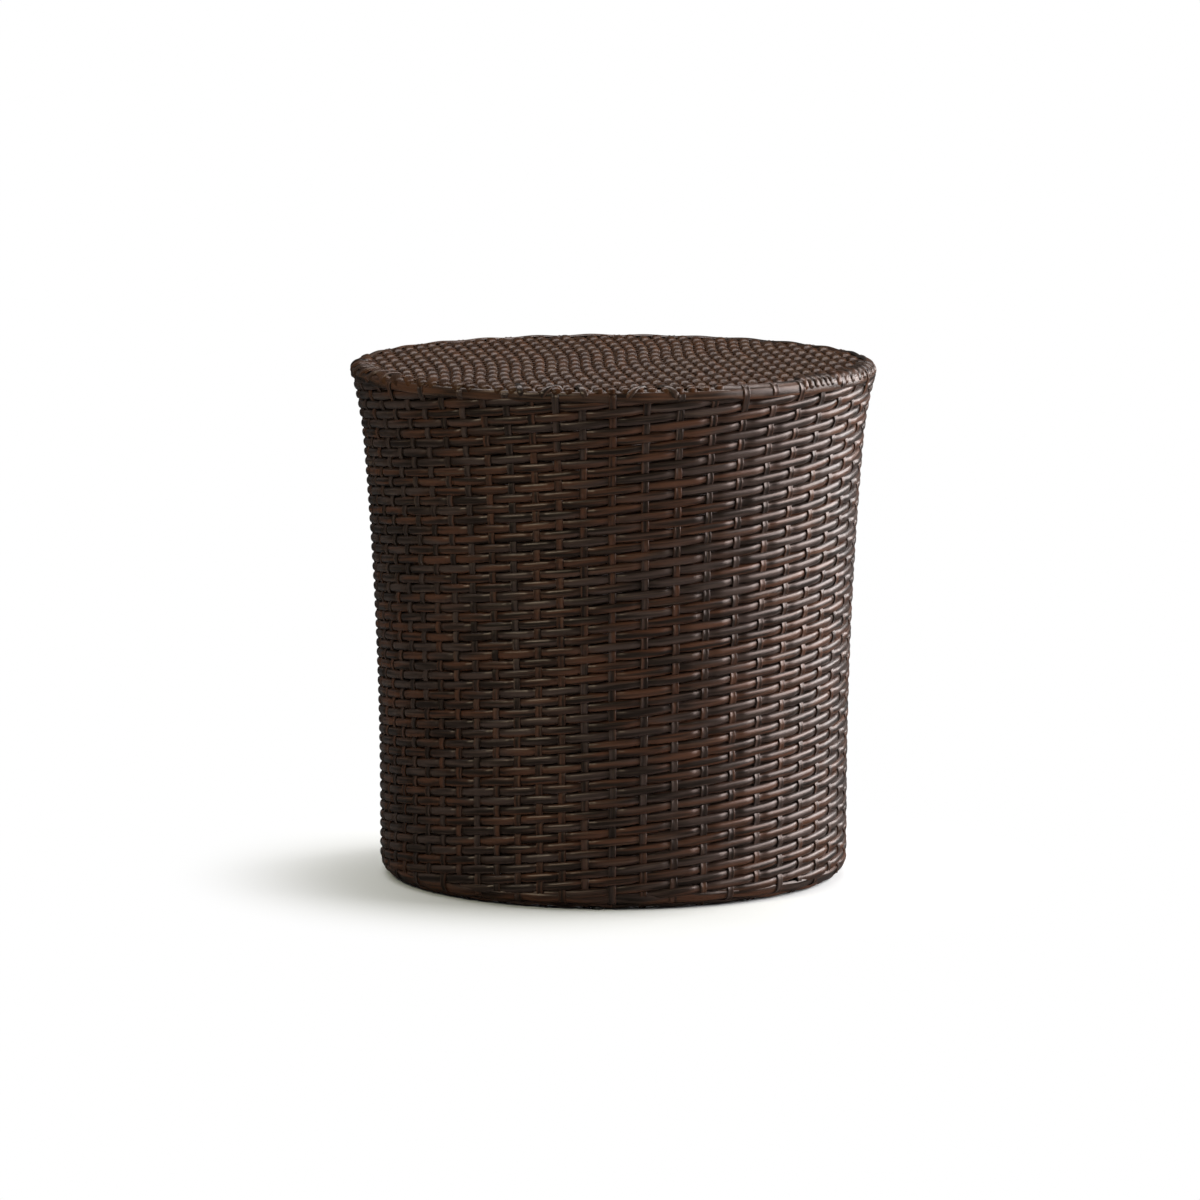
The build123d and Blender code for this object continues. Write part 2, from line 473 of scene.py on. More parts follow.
@dataclass
class Strand:
    """One strand: a section swept along a centre line.

    Attributes:
        centre: The points of the centre line.
        normal: The direction that the strand's face looks in, at each point.
        section: The section's points.
        start: Where the strand is cut from its reel, which sets its tones.
        roll: The roll of the section about the centre line, in radians.
    """

    centre: Array
    normal: Array
    section: Array
    start: float
    roll: float | Array = 0.0

    @property
    def loop(self) -> Array:
        """The section's points, with the first once more at the end."""
        return np.vstack((self.section, self.section[:1]))

    def grid(self) -> Array:
        """Sweep the section, as rows of points along the strand, the first and last row alike."""
        along = np.gradient(self.centre, axis=0)
        along /= np.linalg.norm(along, axis=1, keepdims=True)
        across = np.cross(along, self.normal)
        across /= np.linalg.norm(across, axis=1, keepdims=True)
        out = np.cross(across, along)
        turn = np.broadcast_to(self.roll, len(self.centre))[:, None]
        side = across * np.cos(turn) + out * np.sin(turn)
        face = out * np.cos(turn) - across * np.sin(turn)
        loop = self.loop
        return self.centre + loop[:, :1, None] * side + loop[:, 1:, None] * face

    def lengths(self) -> tuple[Array, Array]:
        """Measure the strand.

        Returns:
            The distances to each point of its centre line, and to each point of its section's loop.
        """
        along, around = (
            np.concatenate(((0.0,), np.cumsum(np.linalg.norm(np.diff(line, axis=0), axis=1))))
            for line in (self.centre, self.loop)
        )
        return along, around


@dataclass
class Bundle:
    """Strands that are one piece of the table."""

    name: str
    node: str
    strands: list[Strand] = field(default_factory=list)

    def build(self, material: Material) -> None:
        """Make the piece, put it in the scene, and let it stand for its CAD node.

        Args:
            material: The strands' material.
        """
        mesh = bpy.data.meshes.new(self.name)
        self.lay_grids(mesh)
        self.close(mesh)
        mesh.materials.append(material)
        piece = bpy.data.objects.new(self.name, mesh)
        bpy.context.scene.collection.objects.link(piece)
        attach(piece, "root")
        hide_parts(self.node)
        log.info("%s: %d strands, %d faces", self.name, len(self.strands), len(mesh.polygons))

    def lay_grids(self, mesh: Mesh) -> None:
        """Make one grid for each strand, bend it round its strand and map it.

        Args:
            mesh: The empty mesh to fill.
        """
        sheets = bmesh.new()
        grids = [strand.grid() for strand in self.strands]
        for grid in grids:
            rows, columns = grid.shape[0] - 1, grid.shape[1] - 1
            bmesh.ops.create_grid(sheets, x_segments=columns, y_segments=rows, size=1)
        sheets.to_mesh(mesh)
        sheets.free()
        places = np.concatenate([grid.reshape(-1, 3) for grid in grids])
        mesh.vertices.foreach_set("co", places.astype(np.float32).ravel())
        corners = np.zeros(len(mesh.loops), np.int32)
        mesh.loops.foreach_get("vertex_index", corners)
        self.map_strands(mesh, corners)
        self.map_bake(mesh, corners)

    def map_strands(self, mesh: Mesh, corners: Array) -> None:
        """Map each strand in metres, along it and round it.

        Args:
            mesh: The mesh of the grids.
            corners: The vertex of each face corner.
        """
        maps = []
        for strand in self.strands:
            along, around = strand.lengths()
            u, v = np.meshgrid(strand.start + along, around)
            maps.append(np.column_stack((u.ravel(), v.ravel())))
        layer = mesh.uv_layers.new(name=STRAND_UV)
        layer.uv.foreach_set("vector", np.concatenate(maps)[corners].astype(np.float32).ravel())

    def map_bake(self, mesh: Mesh, corners: Array) -> None:
        """Map the strands in rows that don't overlap, each cut into lengths of a row at most.

        Args:
            mesh: The mesh of the grids.
            corners: The vertex of each face corner.
        """
        along, around = self.strands[0].lengths()
        steps = sum(len(strand.centre) - 1 for strand in self.strands)
        step = along[-1] / (len(along) - 1)
        row_steps = math.ceil(math.sqrt(steps * around[-1] / step))
        columns, heights, first_rows, rows = [], [], [], 0
        for strand in self.strands:
            count, ring = len(strand.centre), len(strand.section) + 1
            column, height = np.meshgrid(np.arange(count), np.arange(ring) / (ring - 1))
            columns.append(column.ravel())
            heights.append(height.ravel())
            first_rows.append(np.full(count * ring, rows))
            rows += math.ceil((count - 1) / row_steps)
        column, height, first_row = (
            np.concatenate(values)[corners].reshape(-1, 4)
            for values in (columns, heights, first_rows)
        )
        cut = column.min(axis=1, keepdims=True) // row_steps
        u = (column - cut * row_steps) / row_steps
        v = (first_row + cut + BAKE_MARGIN + (1 - 2 * BAKE_MARGIN) * height) / rows
        layer = mesh.uv_layers.new(name=BAKE_UV)
        layer.uv.foreach_set("vector", np.stack((u, v), axis=-1).astype(np.float32).ravel())

    @staticmethod
    def close(mesh: Mesh) -> None:
        """Close each strand along its back and at its ends, and smooth it.

        Args:
            mesh: The mesh of the bent grids.
        """
        tubes = bmesh.new()
        tubes.from_mesh(mesh)
        bmesh.ops.remove_doubles(tubes, verts=tubes.verts, dist=WELD)
        bmesh.ops.holes_fill(tubes, edges=[edge for edge in tubes.edges if edge.is_boundary])
        bmesh.ops.recalc_face_normals(tubes, faces=tubes.faces)
        for face in tubes.faces:
            face.smooth = True
        tubes.to_mesh(mesh)
        tubes.free()


class Value:
    """A shader value that takes part in sums: an expression on values adds its Math nodes."""

    def __init__(self, graph: Graph, socket: Socket) -> None:
        """Wrap an output socket of a graph."""
        self.graph = graph
        self.socket = socket

    def math(self, operation: str, first: Value | float, second: Value | float) -> Value:
        """Add a Math node.

        Args:
            operation: The node's operation.
            first: Its first value.
            second: Its second value.

        Returns:
            Its result.
        """
        node = self.graph.node("ShaderNodeMath", {"operation": operation}, {0: first, 1: second})
        return Value(self.graph, node.outputs[0])

    def __add__(self, other: Value | float) -> Value:
        """Add."""
        return self.math("ADD", self, other)

    def __radd__(self, other: float) -> Value:
        """Add to a number."""
        return self.math("ADD", other, self)

    def __sub__(self, other: Value | float) -> Value:
        """Subtract."""
        return self.math("SUBTRACT", self, other)

    def __rsub__(self, other: float) -> Value:
        """Subtract from a number."""
        return self.math("SUBTRACT", other, self)

    def __mul__(self, other: Value | float) -> Value:
        """Multiply."""
        return self.math("MULTIPLY", self, other)

    def __rmul__(self, other: float) -> Value:
        """Multiply a number."""
        return self.math("MULTIPLY", other, self)


class Graph:
    """The node tree of a material or a world."""

    def __init__(self, tree: bpy.types.NodeTree) -> None:
        """Empty a node tree and take it over."""
        self.tree = tree
        tree.nodes.clear()

    def node(self, kind: str, settings: dict | None = None, sockets: dict | None = None) -> Node:
        """Add a node.

        Args:
            kind: The node's type.
            settings: Its settings.
            sockets: Values or links for its inputs, by name or number.

        Returns:
            The node.
        """
        node = self.tree.nodes.new(kind)
        for name, setting in (settings or {}).items():
            setattr(node, name, setting)
        for key, value in (sockets or {}).items():
            self.feed(node.inputs[key], value)
        return node

    def feed(self, socket: Socket, value: object) -> None:
        """Link or set an input.

        Args:
            socket: The input.
            value: A value, an output socket, or a plain number, colour or vector.
        """
        if isinstance(value, Value):
            value = value.socket
        if isinstance(value, Socket):
            self.tree.links.new(value, socket)
        else:
            socket.default_value = value

    def value(self, socket: Socket) -> Value:
        """Wrap an output for sums."""
        return Value(self, socket)

    def noise(self, vector: Socket, scale: float, detail: float = 2.0) -> Value:
        """Add a noise.

        Args:
            vector: Where it is read.
            scale: Its scale.
            detail: How many finer layers it has.

        Returns:
            Its value, from 0 to 1.
        """
        sockets = {"Vector": vector, "Scale": scale, "Detail": detail}
        return self.value(self.node("ShaderNodeTexNoise", None, sockets).outputs[0])

    def level(self, value: Value, low: float, high: float) -> Value:
        """Ease a value to 0 at low and to 1 at high."""
        settings = {"interpolation_type": "SMOOTHSTEP"}
        node = self.node("ShaderNodeMapRange", settings, {0: value, 1: low, 2: high})
        return self.value(node.outputs[0])

    def mix(self, factor: Value, first: object, second: object) -> Socket:
        """Mix two colours.

        Args:
            factor: How much of the second shows.
            first: The first colour.
            second: The second colour.

        Returns:
            The mixed colour.
        """
        node = self.node("ShaderNodeMix", {"data_type": "RGBA"}, {0: factor, 6: first, 7: second})
        return node.outputs[2]

    def stretched(self, vector: Socket, scale: Triple) -> Socket:
        """Scale coordinates by a different amount each way."""
        return self.node("ShaderNodeMapping", None, {"Vector": vector, "Scale": scale}).outputs[0]

    def dress(
        self, shader: Node, colour: Socket, roughness: Value, height: Value, relief: Pair
    ) -> None:
        """Feed what changes over a surface to its shader.

        Args:
            shader: The shader.
            colour: The base colour.
            roughness: The roughness.
            height: The relief, from 0 to about 1.
            relief: How high the relief is in metres, and how strongly it shows.
        """
        sockets = {"Height": height, "Distance": relief[0], "Strength": relief[1]}
        bump = self.node("ShaderNodeBump", None, sockets)
        self.feed(shader.inputs["Base Color"], colour)
        self.feed(shader.inputs["Roughness"], roughness)
        self.feed(shader.inputs["Normal"], bump.outputs[0])


def new_material(name: str) -> tuple[Material, Graph, Node]:
    """Make a material with one Principled shader.

    Args:
        name: The material's name.

    Returns:
        The material, its graph and its shader.
    """
    material = bpy.data.materials.new(name)
    material.use_nodes = True
    graph = Graph(material.node_tree)
    shader = graph.node("ShaderNodeBsdfPrincipled")
    graph.node("ShaderNodeOutputMaterial", None, {"Surface": shader.outputs[0]})
    return material, graph, shader


@dataclass(frozen=True)
class StrandFinish:
    """Satin extruded resin strand in mixed dark browns, streaked along its length."""

    name: str = "streaked_strand"
    red_brown: Colour = (0.068, 0.027, 0.014, 1.0)
    grey_brown: Colour = (0.046, 0.030, 0.025, 1.0)
    black_brown: Colour = (0.011, 0.007, 0.005, 1.0)
    tan: Colour = (0.125, 0.082, 0.055, 1.0)
    hue_scale: Triple = (7.0, 60.0, 1.0)
    hue_levels: Pair = (0.43, 0.57)
    shade_scale: Triple = (11.0, 160.0, 1.0)
    shade_fineness: float = 1.3
    shade_levels: Pair = (0.36, 0.62)
    streak_scale: Triple = (9.0, 900.0, 1.0)
    pale_levels: Pair = (0.55, 0.75)
    pale_share: float = 0.45
    dark_levels: Pair = (0.30, 0.46)
    dark_share: float = 0.6
    fibre_scale: Triple = (60.0, 4200.0, 1.0)
    roughness: float = 0.28
    fibre_roughness: float = 0.16
    streak_polish: float = 0.08
    streak_height: float = 0.6
    relief: Pair = (0.00010, 0.8)
    gloss: float = 0.50
    gloss_tint: Colour = (1.0, 0.79, 0.73, 1.0)

    def material(self) -> Material:
        """Make the material."""
        material, graph, shader = new_material(self.name)
        place = graph.node("ShaderNodeUVMap", {"uv_map": STRAND_UV}).outputs[0]
        hue = graph.noise(graph.stretched(place, self.hue_scale), 1.0, 1.0)
        shade = graph.noise(graph.stretched(place, self.shade_scale), self.shade_fineness)
        streak = graph.noise(graph.stretched(place, self.streak_scale), 1.0, 3.0)
        fibre = graph.noise(graph.stretched(place, self.fibre_scale), 1.0)
        colour = graph.mix(graph.level(hue, *self.hue_levels), self.red_brown, self.grey_brown)
        colour = graph.mix(graph.level(shade, *self.shade_levels), self.black_brown, colour)
        pale = self.pale_share * graph.level(streak, *self.pale_levels)
        colour = graph.mix(pale, colour, self.tan)
        dark = self.dark_share - self.dark_share * graph.level(streak, *self.dark_levels)
        colour = graph.mix(dark, colour, self.black_brown)
        roughness = self.roughness + self.fibre_roughness * fibre - self.streak_polish * streak
        graph.dress(shader, colour, roughness, fibre + self.streak_height * streak, self.relief)
        graph.feed(shader.inputs["Specular IOR Level"], self.gloss)
        graph.feed(shader.inputs["Specular Tint"], self.gloss_tint)
        return material


@dataclass(frozen=True)
class CoatFinish:
    """Dark powder coat with a fine orange peel, on the frame's tubes."""

    colour: Colour = (0.030, 0.022, 0.018, 1.0)
    dust: Colour = (0.055, 0.045, 0.038, 1.0)
    dust_scale: float = 25.0
    dust_levels: Pair = (0.45, 0.75)
    peel_scale: float = 900.0
    relief: Pair = (0.0002, 0.5)
    roughness: float = 0.42
    dust_roughness: float = 0.25

    def material(self) -> Material:
        """Make the material."""
        material, graph, shader = new_material("powder_coat")
        place = graph.node("ShaderNodeTexCoord").outputs["Object"]
        peel = graph.noise(place, self.peel_scale)
        cloud = graph.noise(place, self.dust_scale, 4.0)
        colour = graph.mix(graph.level(cloud, *self.dust_levels), self.colour, self.dust)
        roughness = self.roughness + self.dust_roughness * cloud
        graph.dress(shader, colour, roughness, peel, self.relief)
        return material


@dataclass(frozen=True)
class GlideFinish:
    """Black moulded plastic with fine scuffs."""

    colour: Colour = (0.016, 0.015, 0.014, 1.0)
    scuff: Colour = (0.07, 0.068, 0.065, 1.0)
    scuff_scale: Triple = (300.0, 2500.0, 300.0)
    scuff_levels: Pair = (0.55, 0.75)
    scuff_share: float = 0.6
    grain_scale: float = 1500.0
    relief: Pair = (0.0001, 0.4)
    roughness: float = 0.5
    scuff_roughness: float = 0.2

    def material(self) -> Material:
        """Make the material."""
        material, graph, shader = new_material("moulded_glide")
        place = graph.node("ShaderNodeTexCoord").outputs["Object"]
        grain = graph.noise(place, self.grain_scale)
        scratch = graph.noise(graph.stretched(place, self.scuff_scale), 1.0)
        scuffed = self.scuff_share * graph.level(scratch, *self.scuff_levels)
        colour = graph.mix(scuffed, self.colour, self.scuff)
        roughness = self.roughness + self.scuff_roughness * scratch
        graph.dress(shader, colour, roughness, grain, self.relief)
        return material


@dataclass
class Weave:
    """The woven side: weavers that wind up over and under stakes, between two edges of bands."""

    drum: Drum
    plan: StakePlan = StakePlan()
    bare_rim: BareRim = BareRim()
    crimp: Crimp = Crimp()
    edge_crimp: Crimp = Crimp(middle=0.0019, weaver=0.0006, stake=0.0014)
    weaver: HalfRound = HalfRound()
    stake: RidgedStrip = RidgedStrip()
    band_strand: HalfRound = HalfRound(
        width=0.0092, thickness=0.0026, lip=0.0004, drop=0.0006, dome=0.5
    )
    wrap: HalfRound = HalfRound(width=0.0062, thickness=0.0024, lip=0.0002, drop=0.0)
    row_pitch: float = 0.00855
    starts: int = 16
    steps: int = 12
    stake_steps: int = 4
    rim_bands: tuple[float, ...] = (4.0, 58.0)
    foot_bands: tuple[float, ...] = (-32.0,)
    low_bands: tuple[float, ...] = (-84.0, -130.0, -176.0)
    extra_loop: int = 5
    wraps: tuple[Pair, ...] = (
        (-43.6, 1.5), (-41.8, 1.5), (-40.0, 1.5), (-38.2, 1.5), (-36.4, 1.5), (-34.6, 1.5),
        (-30.8, 4.0), (-27.4, 5.0), (-24.2, 5.0), (-20.6, 5.0), (-17.2, 5.0), (-13.4, 5.0),
        (-9.2, 5.0), (-4.8, 5.0), (-78.0, -4.0), (-85.0, 5.0), (-97.0, -3.0), (-104.0, 4.0),
        (-111.0, -3.0), (-150.0, 3.0), (-156.0, 4.0), (-162.0, 4.0), (-168.0, 5.0), (-174.0, 5.0),
        (-180.0, 5.0),
    )
    wrap_tuck: float = 0.002
    wrap_reach: float = 0.010
    wrap_ease: float = 0.005
    wrap_rise: float = 0.0036
    weaver_drift: Drift = Drift(0.00014, (0.06, 0.11, 0.29))
    weaver_roll: Drift = Drift(0.035, (0.05, 0.13))
    band_drift: float = 0.00012
    band_drift_waves: tuple[int, ...] = (5, 13, 22)
    band_roll: float = 0.04
    band_roll_waves: tuple[int, ...] = (9, 23)
    stake_drift: Drift = Drift(0.0012, (0.15, 0.37))
    first_stake_reel: int = 100
    covered_depth: float = 0.0026
    tuck_in: float = 0.007
    top_tail: float = 0.014

    def __post_init__(self) -> None:
        """Work out where the bands lie along the outline."""
        lows = [self.drum.way_at(Stretch.LOW_WRAP, angle) for angle in self.low_bands]
        feet = [self.drum.way_at(Stretch.TUCK, angle) for angle in self.foot_bands]
        self.foot_ways = sorted(lows + feet)
        self.rim_ways = sorted(self.drum.way_at(Stretch.RIM, angle) for angle in self.rim_bands)
        self.first_row = self.foot_ways[-1]
        self.last_row = self.rim_ways[0]

    def row_way(self, row: Array, crossing: Array) -> Array:
        """Find how far up the outline a row is.

        Args:
            row: The row's number at the front upright.
            crossing: The crossing number along it.

        Returns:
            The distance along the outline.
        """
        turns = (self.plan.angle(crossing) - math.radians(self.plan.front_angle)) / math.tau
        return self.first_row + self.row_pitch * (row + self.starts * turns)

    def weavers(self, rng: Rng) -> list[Bundle]:
        """Wind the side weavers, each from under the foot band to under the rim band.

        Args:
            rng: The source of their drift.

        Returns:
            A bundle for each weaver.
        """
        rows = (self.last_row - self.first_row) / self.row_pitch
        bundles = []
        for start in range(self.starts):
            first = -start / self.starts * self.plan.count
            last = (rows - start) / self.starts * self.plan.count
            crossing = np.arange(math.floor(first), math.ceil(last), 1 / self.steps)
            way = self.row_way(start, crossing)
            crossing = crossing[(way > self.first_row) & (way < self.last_row)]
            way = self.row_way(start, crossing)
            run = crossing * self.drum.wall_radius * math.tau / self.plan.count
            way = way + self.weaver_drift.along(rng, run)
            depth = self.crimp.weaver_depth(crossing + start)
            rise = way - self.first_row
            fall = self.last_row - way
            tuck = smooth_step(np.minimum(rise, fall), self.tuck_in, self.tuck_in / 3)
            depth = depth + (self.crimp.hidden - depth) * tuck
            roll = self.weaver_roll.along(rng, run)
            centre, normal = self.drum.place(self.plan.angle(crossing), way, depth)
            strand = Strand(centre, normal, self.weaver.points(), start * REEL, roll)
            bundles.append(Bundle(f"weaver_{start + 1:02d}", "side_weave", [strand]))
        return bundles

    def looped(self, stakes: Array) -> Array:
        """Tell which stakes loop over the bands of the rim: every second one, and one more."""
        return (stakes % 2 == 0) | (stakes % self.plan.count == self.extra_loop)

    def band(
        self, rng: Rng, way: float, over: Array, start: float, covered: float = 0.0
    ) -> Strand:
        """Lay a closed ring of strand along an edge, over and under the stakes.

        Args:
            rng: The source of its drift.
            way: Where it lies along the outline.
            over: Whether each stake in turn lies over it.
            start: Where it is cut from its reel.
            covered: How much deeper it lies where the rim is covered.

        Returns:
            The strand.
        """
        stakes = np.arange(self.plan.count + 1)
        crossing = np.linspace(0, self.plan.count, self.plan.count * self.steps + 1)
        lap = self.drum.wall_radius * math.tau
        run = crossing * lap / self.plan.count
        drift = Drift(self.band_drift, tuple(lap / count for count in self.band_drift_waves))
        turn = Drift(self.band_roll, tuple(lap / count for count in self.band_roll_waves))
        ways = way + drift.along(rng, run)
        crimp = self.edge_crimp
        levels = crimp.middle + crimp.weaver * np.where(over[stakes % self.plan.count], 1, -1)
        depth = eased(crossing, stakes, levels)
        roll = turn.along(rng, run)
        angle = self.plan.angle(crossing)
        depth = depth + covered * (1 - self.bare_rim.share(angle))
        centre, normal = self.drum.place(angle, ways, depth)
        return Strand(centre, normal, self.band_strand.points(), start, roll)

    def bands(self, rng: Rng) -> list[Bundle]:
        """Lay the bands of the rim and of the foot, and the wraps that bind the rim.

        Args:
            rng: The source of their drift.

        Returns:
            A bundle for the rim and one for the foot.
        """
        rim = Bundle("rim_bands", "top_rim_wrap")
        foot = Bundle("foot_bands", "bottom_rim_wrap")
        stakes = np.arange(self.plan.count)
        reel = self.starts * REEL
        for way, covered in zip(self.rim_ways, (0.0, self.covered_depth)):
            reel += REEL
            rim.strands.append(self.band(rng, way, self.looped(stakes), reel, covered))
        for index, way in enumerate(self.foot_ways):
            reel += REEL
            foot.strands.append(self.band(rng, way, (stakes + index) % 2 == 1, reel))
        for angle, slant in self.wraps:
            reel += REEL
            rim.strands.append(self.rim_wrap(math.radians(angle), math.radians(slant), reel))
        return [rim, foot]

    def rim_wrap(self, angle: float, slant: float, start: float) -> Strand:
        """Lay one wrap over the crown of the rim.

        Args:
            angle: Its angle about the axis, in radians.
            slant: How far it goes round on its way up, in radians.
            start: Where it is cut from its reel.

        Returns:
            The strand.
        """
        low, high = self.rim_ways[0] - self.wrap_tuck, self.drum.crown + self.wrap_reach
        way = np.linspace(low, high, 3 * self.steps)
        rise = smooth_step(np.minimum(way - low, high - way), 0.0, self.wrap_ease)
        depth = self.edge_crimp.hidden - self.wrap_rise * rise
        angles = angle + slant * np.linspace(-0.5, 0.5, len(way))
        centre, normal = self.drum.place(angles, way, depth)
        return Strand(centre, normal, self.wrap.points(), start)

    def stake_knots(self, index: int) -> tuple[Array, Array]:
        """Find where a stake crosses the rows and bands.

        Args:
            index: The stake's number.

        Returns:
            The distances along the outline, and the stake's depth at each.
        """
        rows = np.arange(-self.starts, (self.last_row - self.first_row) / self.row_pitch)
        row_ways = self.row_way(rows, np.full(len(rows), float(index)))
        margin = self.tuck_in / 2
        inside = (row_ways > self.first_row + margin) & (row_ways < self.last_row - margin)
        foot_over = (np.arange(len(self.foot_ways)) + index) % 2 == 1
        rim_over = np.full(len(self.rim_ways), self.looped(np.array(index)))
        bare = self.bare_rim.share(self.plan.angle(np.array([float(index)])))
        rim_depths = self.edge_crimp.middle - self.edge_crimp.stake * np.where(rim_over, 1, -1)
        rim_depths[1:] += (self.crimp.hidden - rim_depths[1:]) * (1 - bare)
        depths = (
            (self.crimp.hidden,),
            self.edge_crimp.middle - self.edge_crimp.stake * np.where(foot_over, 1, -1),
            self.crimp.middle - self.crimp.stake * np.where((rows[inside] + index) % 2, 1, -1),
            rim_depths,
            (self.crimp.hidden,) * 2,
        )
        tail = (self.drum.crown + self.top_tail / 3, self.drum.crown + self.top_tail)
        ways = ((0.0,), self.foot_ways, row_ways[inside], self.rim_ways, tail)
        return np.concatenate(ways), np.concatenate(depths)

    def stakes(self, rng: Rng) -> list[Bundle]:
        """Stand the side stakes, from inside the bottom ring to under the edge of the top.

        Args:
            rng: The source of their drift.

        Returns:
            A bundle for each quarter of the drum.
        """
        bundles, index = [], 0
        for quarter, count in enumerate(self.plan.per_quarter):
            bundle = Bundle(f"side_stakes_{quarter + 1}", "side_stakes")
            for _ in range(count):
                bundle.strands.append(self.stake_strand(rng, index))
                index += 1
            bundles.append(bundle)
        return bundles

    def stake_strand(self, rng: Rng, index: int) -> Strand:
        """Bend one side stake round the rows and bands that it crosses.

        Args:
            rng: The source of its drift.
            index: The stake's number.

        Returns:
            The strand.
        """
        ways, depths = self.stake_knots(index)
        spacing = self.row_pitch / self.stake_steps
        way = np.linspace(ways[0], ways[-1], math.ceil((ways[-1] - ways[0]) / spacing))
        depth = eased(way, ways, depths)
        angle = self.plan.angle(np.full(len(way), float(index)))
        angle = angle + self.stake_drift.along(rng, way)
        centre, normal = self.drum.place(angle, way, depth)
        return Strand(centre, normal, self.stake.points(), (self.first_stake_reel + index) * REEL)


@dataclass
class TopWeave:
    """The woven top: weavers from front to back, over and under stakes from side to side."""

    drum: Drum
    bare_rim: BareRim = BareRim()
    crimp: Crimp = Crimp(middle=0.0031, weaver=0.0022, stake=0.0004, grip=2.4, lead=0.1)
    weaver: HalfRound = HalfRound(width=0.0088, thickness=0.0027, lip=0.0002, drop=0.0, dome=0.75)
    stake: RidgedStrip = RidgedStrip(width=0.0056)
    weaver_pitch: float = 0.0119
    weaver_lean: float = 0.144
    stake_pitch: float = 0.0162
    stake_turn: float = -8.0
    squeeze: float = 0.0107
    squeeze_width: float = 0.074
    squeeze_shift: float = 0.027
    steps: int = 8
    stake_steps: int = 4
    overhang: float = 0.0125
    rim_depth: float = 0.0009
    rim_ease: Pair = (-0.004, 0.002)
    end_over: float = 0.0075
    end_short: float = 0.0135
    end_ease: float = 0.006
    side_margin: float = 0.007
    weaver_drift: Drift = Drift(0.0002, (0.09, 0.21))
    weaver_roll: Drift = Drift(0.05, (0.07, 0.18))
    first_weaver_reel: int = 200
    first_stake_reel: int = 300
    search_rounds: int = 5

    def pushed(self, column: Array, back: Array) -> Array:
        """Find how far the weavers are pushed to the right.

        They lean, except near a slanting line across the top, where they are squeezed and run
        straight.

        Args:
            column: The weavers' distances from the middle before that.
            back: How far back the points are.

        Returns:
            The distances to the right.
        """
        away = column - back + self.squeeze_shift
        return -self.weaver_lean * back - self.squeeze * np.tanh(away / self.squeeze_width)

    def weaver_number(self, plan: Array) -> Array:
        """Find where points lie among the weavers, as a number of weavers from the middle one."""
        column = plan[:, 0]
        for _ in range(self.search_rounds):
            column = plan[:, 0] - self.pushed(column, plan[:, 1])
        return column / self.weaver_pitch

    def stake_number(self, plan: Array) -> Array:
        """Find where points lie among the stakes, as a number of stakes from the middle."""
        turn = math.radians(self.stake_turn)
        return plan @ (-math.sin(turn), math.cos(turn)) / self.stake_pitch

    def lay(self, plan: Array, depth: Array) -> tuple[Array, Array]:
        """Lay a strand on the top and bend it down over the rim at its ends.

        Args:
            plan: Points of the strand, seen from above.
            depth: Depths below the surface.

        Returns:
            The points, and the surface's normals there.
        """
        angle = np.arctan2(plan[:, 1], plan[:, 0])
        over = np.hypot(plan[:, 0], plan[:, 1]) - self.drum.ring_radius
        depth = depth + (self.rim_depth - depth) * smooth_step(over, *self.rim_ease)
        end = over - self.end_over + self.end_short * self.bare_rim.share(angle)
        depth = depth + (self.crimp.hidden - depth) * smooth_step(end, 0.0, self.end_ease)
        return self.drum.place(angle, self.drum.crown - over, depth)

    def places(self, pitch: float, shift: float, reach: float) -> list[tuple[int, float]]:
        """List parallel strands across the top.

        Args:
            pitch: How far apart they are.
            shift: How far strand 0 is from the middle, in pitches.
            reach: How far from the middle the last ones may be.

        Returns:
            The number of each strand, and its distance from the middle.
        """
        numbers = range(math.ceil(-reach / pitch - shift), math.floor(reach / pitch - shift) + 1)
        return [(number, (number + shift) * pitch) for number in numbers]

    def weavers(self, rng: Rng) -> list[Bundle]:
        """Lay the weavers from front to back.

        Args:
            rng: The source of their drift.

        Returns:
            A bundle for each half of the top.
        """
        left = Bundle("top_weavers_left", "top_weave")
        right = Bundle("top_weavers_right", "top_weave")
        reach = self.drum.ring_radius + self.overhang
        edge = self.drum.ring_radius - self.side_margin
        for index, offset in self.places(self.weaver_pitch, 0.0, edge + self.squeeze):
            count = math.ceil(2 * reach / self.stake_pitch * self.steps)
            back = np.linspace(-reach, reach, count)
            column = np.full(count, offset)
            plan = np.column_stack((column + self.pushed(column, back), back))
            plan = plan[np.hypot(plan[:, 0], plan[:, 1]) < reach]
            depth = self.crimp.weaver_depth(self.stake_number(plan) - 0.5 + index)
            centre, normal = self.lay(plan, depth)
            centre[:, 0] += self.weaver_drift.along(rng, plan[:, 1])
            roll = self.weaver_roll.along(rng, plan[:, 1])
            start = (self.first_weaver_reel + index) * REEL
            strand = Strand(centre, normal, self.weaver.points(), start, roll)
            (left if offset < 0 else right).strands.append(strand)
        return [left, right]

    def stakes(self) -> Bundle:
        """Lay the stakes from side to side."""
        bundle = Bundle("top_stake_strips", "top_stakes")
        turn = math.radians(self.stake_turn)
        forward = np.array((math.cos(turn), math.sin(turn)))
        square = np.array((-forward[1], forward[0]))
        reach = self.drum.ring_radius + self.overhang
        edge = self.drum.ring_radius - self.side_margin
        for index, offset in self.places(self.stake_pitch, 0.5, edge):
            half = math.sqrt(reach**2 - offset**2)
            count = math.ceil(2 * half / self.weaver_pitch * self.stake_steps)
            plan = offset * square + np.outer(np.linspace(-half, half, count), forward)
            wave = np.cos(math.pi * (self.weaver_number(plan) + index))
            centre, normal = self.lay(plan, self.crimp.middle + self.crimp.stake * wave)
            start = (self.first_stake_reel + index) * REEL
            bundle.strands.append(Strand(centre, normal, self.stake.points(), start))
        return bundle


